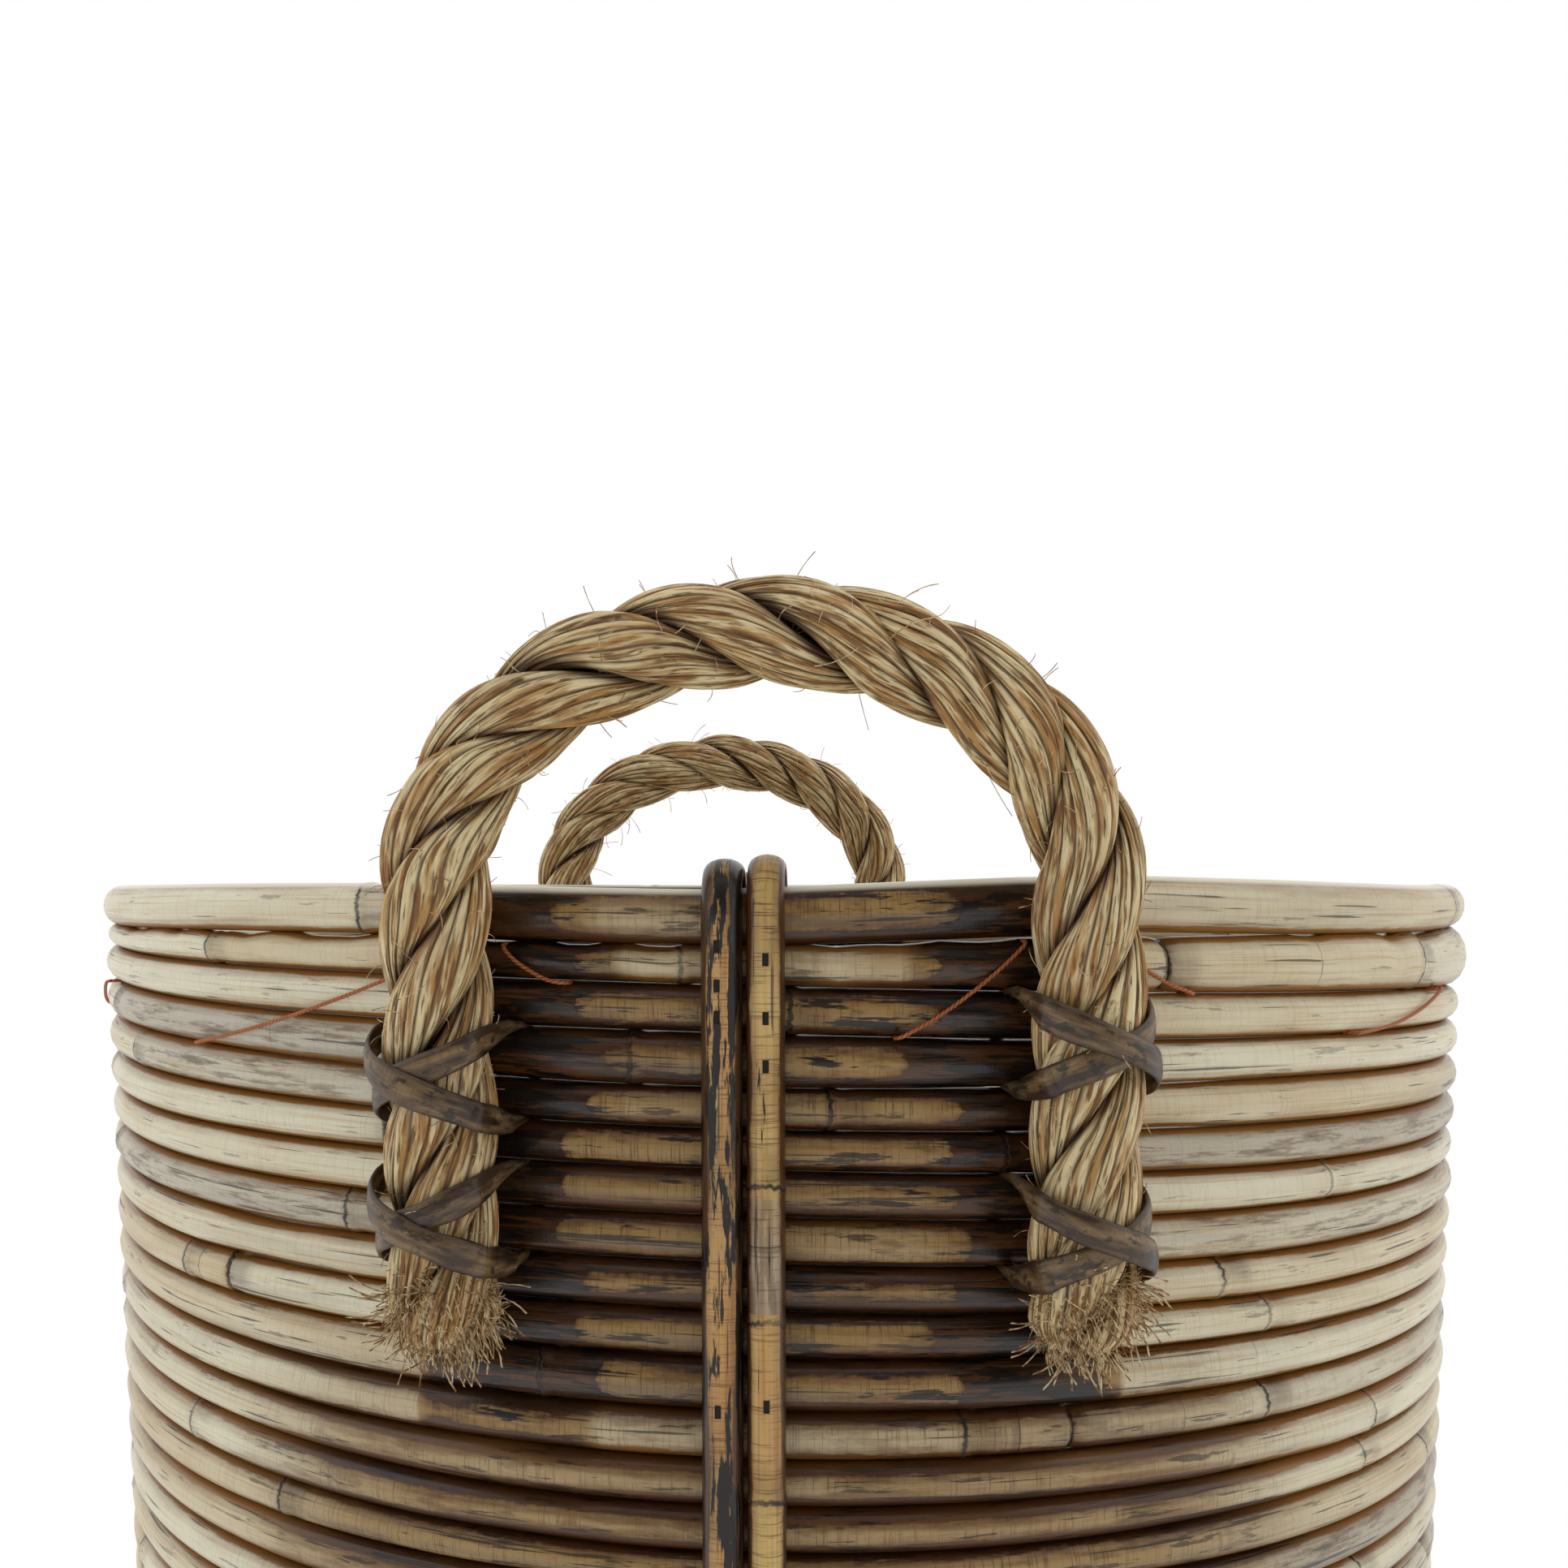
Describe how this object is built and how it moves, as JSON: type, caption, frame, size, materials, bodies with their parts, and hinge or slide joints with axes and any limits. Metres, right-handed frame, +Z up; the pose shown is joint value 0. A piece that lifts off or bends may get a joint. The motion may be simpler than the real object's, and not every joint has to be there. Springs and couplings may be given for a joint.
{
  "type": "storage basket",
  "caption": "Round open-topped storage basket of coiled cane poles held by two pairs of bent cane stakes, with a coiled cane floor and upright rope handles that lean in and out.",
  "frame": {"origin": "on the basket's upright axis, at the level where the base hoop stands", "axes": "+Z up, -Y towards the front handle, +Y towards the back handle, +X to the right seen from the front"},
  "size_m": [0.4494, 0.4908, 0.3959],
  "materials": {
    "cane": "varnished peeled cane, straw to brown with darker nodes and fine cracks",
    "dark_cane": "varnished cane, darker brown with black streaks",
    "rope": "matt laid plant-fibre rope with loose fibres",
    "lashing": "split cane with its dark skin outside, semi-gloss",
    "twine": "waxed copper-coloured twine"
  },
  "bodies": {
    "basket": {"base_hoop": "dark_cane", "floor_bearer_left": "dark_cane", "floor_bearer_right": "dark_cane", "floor_coil": "cane", "handle_back_leg_left": "rope", "handle_back_leg_right": "rope", "handle_front_leg_left": "rope", "handle_front_leg_right": "rope", "lashing_back_left_lower": "lashing", "lashing_back_left_upper": "lashing", "lashing_back_right_lower": "lashing", "lashing_back_right_upper": "lashing", "lashing_front_left_lower": "lashing", "lashing_front_left_upper": "lashing", "lashing_front_right_lower": "lashing", "lashing_front_right_upper": "lashing", "rim_cane": "cane", "stake_back_left": "dark_cane", "stake_back_right": "dark_cane", "stake_front_left": "dark_cane", "stake_front_right": "dark_cane", "twine_back_left": "twine", "twine_back_right": "twine", "twine_front_left": "twine", "twine_front_right": "twine", "wall_pole_a1": "cane", "wall_pole_a2": "cane", "wall_pole_a3": "cane", "wall_pole_a4": "cane", "wall_pole_a5": "cane", "wall_pole_b1": "cane", "wall_pole_b2": "cane", "wall_pole_b3": "cane", "wall_pole_b4": "cane", "wall_pole_b5": "cane", "wall_pole_c1": "cane", "wall_pole_c2": "cane", "wall_pole_c3": "cane", "wall_pole_c4": "cane", "wall_pole_c5": "cane"},
    "front_handle": {"handle_front_arch": "rope"},
    "back_handle": {"handle_back_arch": "rope"}
  },
  "joints": [
    {"name": "front_handle_lean", "type": "hinge", "parent": "basket", "child": "front_handle", "pos_m": [-0.00513, -0.22613, 0.3252], "axis": [0.9997, -0.0227, 0], "range_deg": [-25, 25], "stiffness_Nm_per_rad": 1.5},
    {"name": "back_handle_lean", "type": "hinge", "parent": "basket", "child": "back_handle", "pos_m": [-0.02874, 0.22436, 0.3252], "axis": [-0.9919, -0.1271, 0], "range_deg": [-25, 25], "stiffness_Nm_per_rad": 1.5}
  ]
}
